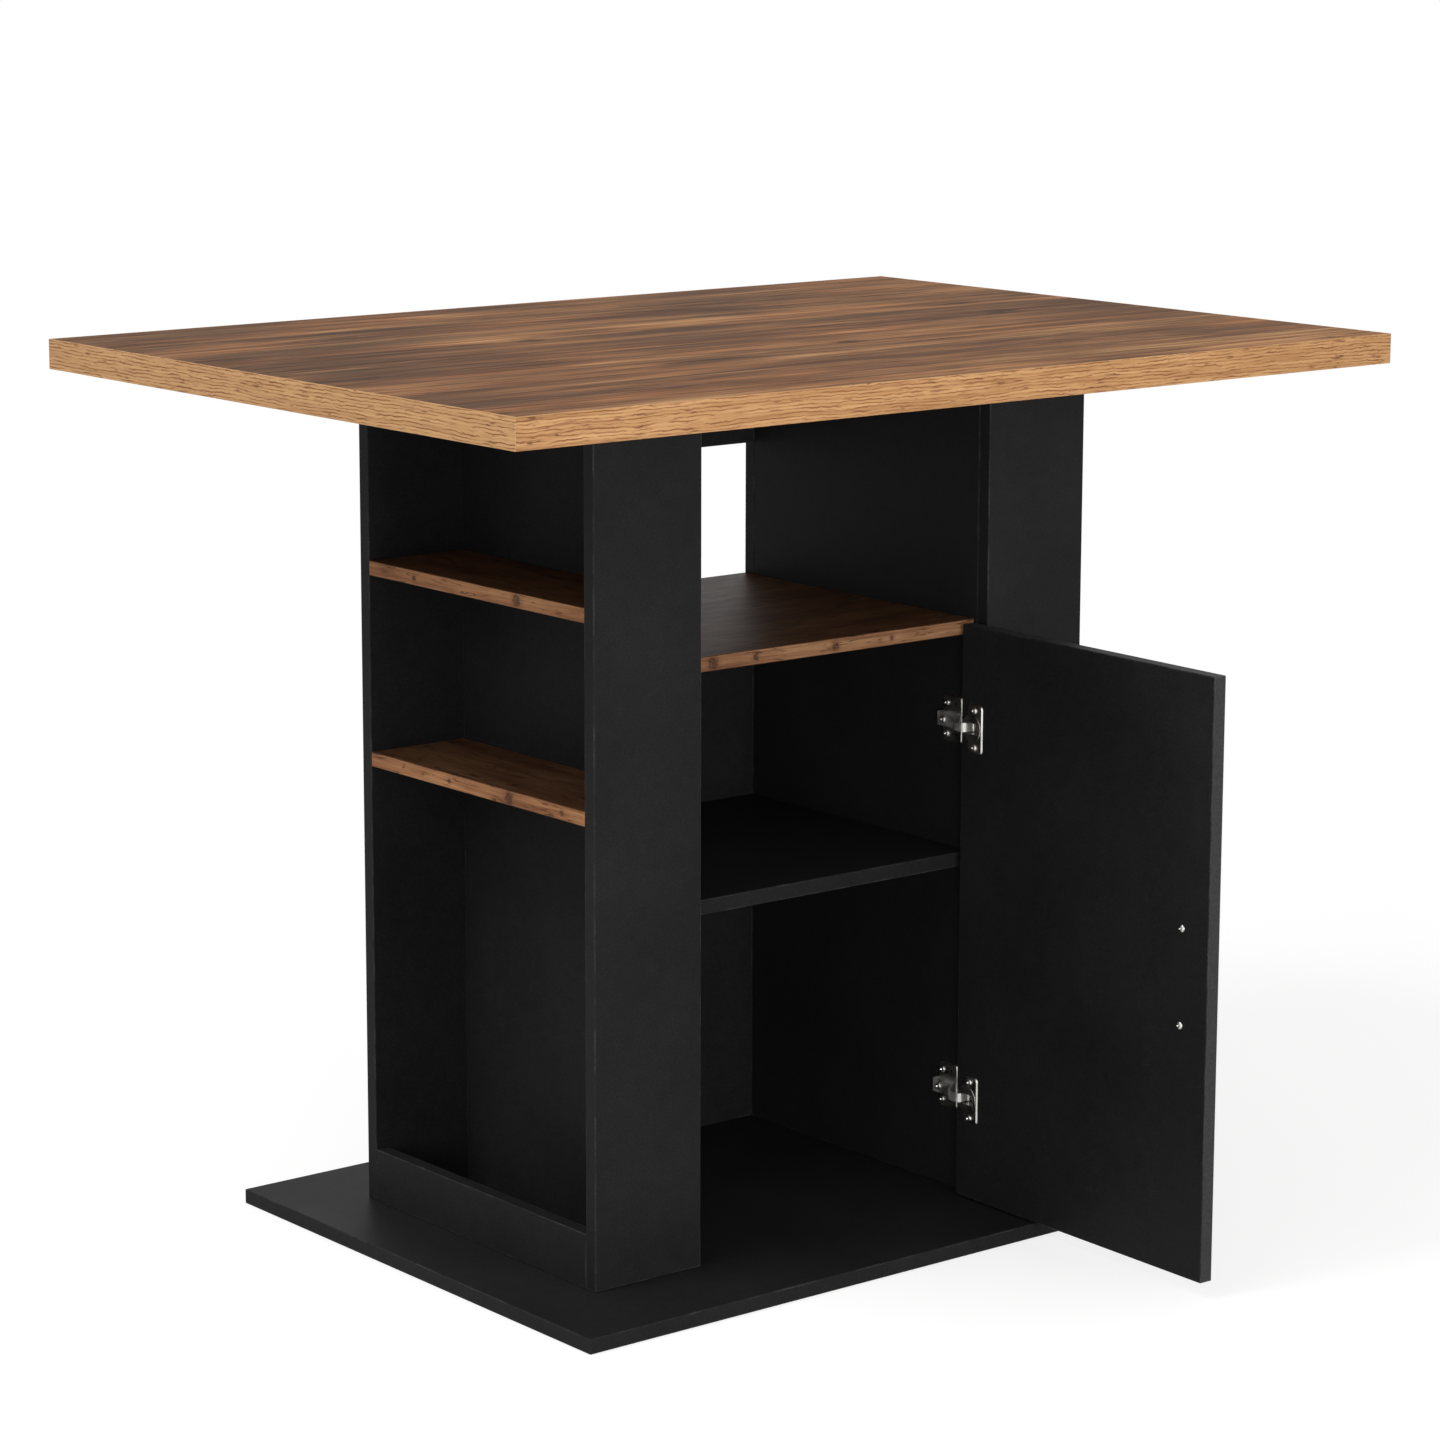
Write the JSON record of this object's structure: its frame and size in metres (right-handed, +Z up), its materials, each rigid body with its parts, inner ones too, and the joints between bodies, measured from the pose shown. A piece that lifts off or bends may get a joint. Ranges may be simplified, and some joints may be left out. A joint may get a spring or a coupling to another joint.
{
  "type": "kitchen island",
  "caption": "Freestanding kitchen island with open shelf towers, a cupboard with a hinged inset door, an open middle bay and an overhanging wood-look worktop on a wide base plate.",
  "frame": {"origin": "on the floor, at the middle of the base plate's underside", "axes": "+X to the right along the worktop's length, -Y to the front where the door is, +Z up"},
  "size_m": [1.095, 0.9328, 0.9],
  "materials": {
    "black_melamine": "black melamine-faced board, fine grain, semi-matt",
    "old_wood_laminate": "wood-look laminate in joined staves, semi-matt",
    "oak_edge_band": "lighter wood-look edge band",
    "old_wood_shelf": "wood-look laminate, semi-matt",
    "nickel_steel": "nickel-plated",
    "zinc_alloy": "zinc-plated",
    "black_metal": "matt black"
  },
  "bodies": {
    "carcass": {"back_top_rail": "black_melamine", "base_plate": "black_melamine", "centre_shelf": "old_wood_shelf", "cupboard_back": "black_melamine", "inner_shelf": "black_melamine", "left_back_base_screw": "zinc_alloy", "left_back_cam_bolt": "zinc_alloy", "left_back_cam_lock": "zinc_alloy", "left_back_panel": "black_melamine", "left_back_shelf_pin": "nickel_steel", "left_bottle_rail": "black_melamine", "left_divider": "black_melamine", "left_divider_base_screw": "zinc_alloy", "left_front_base_screw": "zinc_alloy", "left_front_cam_bolt": "zinc_alloy", "left_front_cam_lock": "zinc_alloy", "left_front_panel": "black_melamine", "left_front_shelf_pin": "nickel_steel", "left_lower_shelf": "old_wood_shelf", "left_upper_shelf": "old_wood_shelf", "lower_arm_screw": "nickel_steel", "lower_hinge_arm": "nickel_steel", "lower_mounting_plate": "nickel_steel", "lower_plate_screw_high": "nickel_steel", "lower_plate_screw_low": "nickel_steel", "right_back_base_screw": "zinc_alloy", "right_back_cam_bolt": "zinc_alloy", "right_back_cam_lock": "zinc_alloy", "right_back_panel": "black_melamine", "right_back_shelf_pin": "nickel_steel", "right_bottle_rail": "black_melamine", "right_divider": "black_melamine", "right_divider_base_screw": "zinc_alloy", "right_front_base_screw": "zinc_alloy", "right_front_cam_bolt": "zinc_alloy", "right_front_cam_lock": "zinc_alloy", "right_front_panel": "black_melamine", "right_front_shelf_pin": "nickel_steel", "right_lower_shelf": "old_wood_shelf", "right_upper_shelf": "old_wood_shelf", "upper_arm_screw": "nickel_steel", "upper_hinge_arm": "nickel_steel", "upper_mounting_plate": "nickel_steel", "upper_plate_screw_high": "nickel_steel", "upper_plate_screw_low": "nickel_steel", "worktop": "old_wood_laminate", "worktop_edge_band": "oak_edge_band"},
    "door": {"door_handle": "black_metal", "door_panel": "black_melamine", "handle_screw_high": "nickel_steel", "handle_screw_low": "nickel_steel", "lower_cup_screw_high": "nickel_steel", "lower_cup_screw_low": "nickel_steel", "lower_hinge_cup": "nickel_steel", "lower_hinge_pin": "nickel_steel", "upper_cup_screw_high": "nickel_steel", "upper_cup_screw_low": "nickel_steel", "upper_hinge_cup": "nickel_steel", "upper_hinge_pin": "nickel_steel"}
  },
  "joints": [
    {"name": "door_hinge", "type": "hinge", "parent": "carcass", "child": "door", "pos_m": [0.1728, -0.1865, 0.316], "axis": [0, 0, 1], "range_deg": [-88.7, 6.3]}
  ]
}
